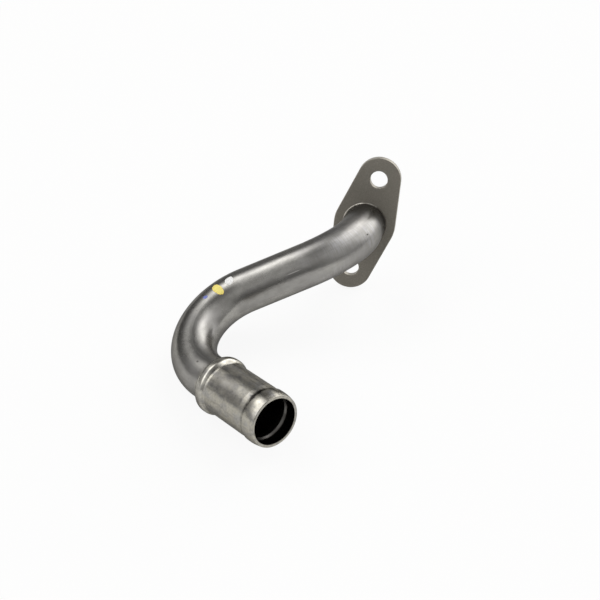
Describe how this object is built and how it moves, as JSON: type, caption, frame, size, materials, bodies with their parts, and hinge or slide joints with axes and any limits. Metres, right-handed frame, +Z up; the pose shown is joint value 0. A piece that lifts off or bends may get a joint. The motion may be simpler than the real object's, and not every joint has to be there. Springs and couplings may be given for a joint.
{
  "type": "turbocharger oil drain line",
  "caption": "Bent steel oil drain line for a turbocharger: brazed bolt-on flange plate at one end, beaded hose end at the other.",
  "frame": {"origin": "on the surface that the line lies on, under the middle of its box", "axes": "+Z up with the line lying at rest; +Y level, to the side that the flange's gasket face looks towards; +X to the right, seen from the hose end"},
  "size_m": [0.0678, 0.1242, 0.0506],
  "materials": {
    "tube_steel": "satin",
    "plate_steel": "matte",
    "braze": "satin",
    "white_paint": "matte",
    "yellow_paint": "matte",
    "blue_paint": "matte"
  },
  "bodies": {
    "root": {"oil_tube": "tube_steel", "flange_plate": "plate_steel", "braze_ring": "braze", "white_paint_mark": "white_paint", "yellow_paint_mark": "yellow_paint", "blue_paint_mark": "blue_paint"}
  },
  "joints": []
}
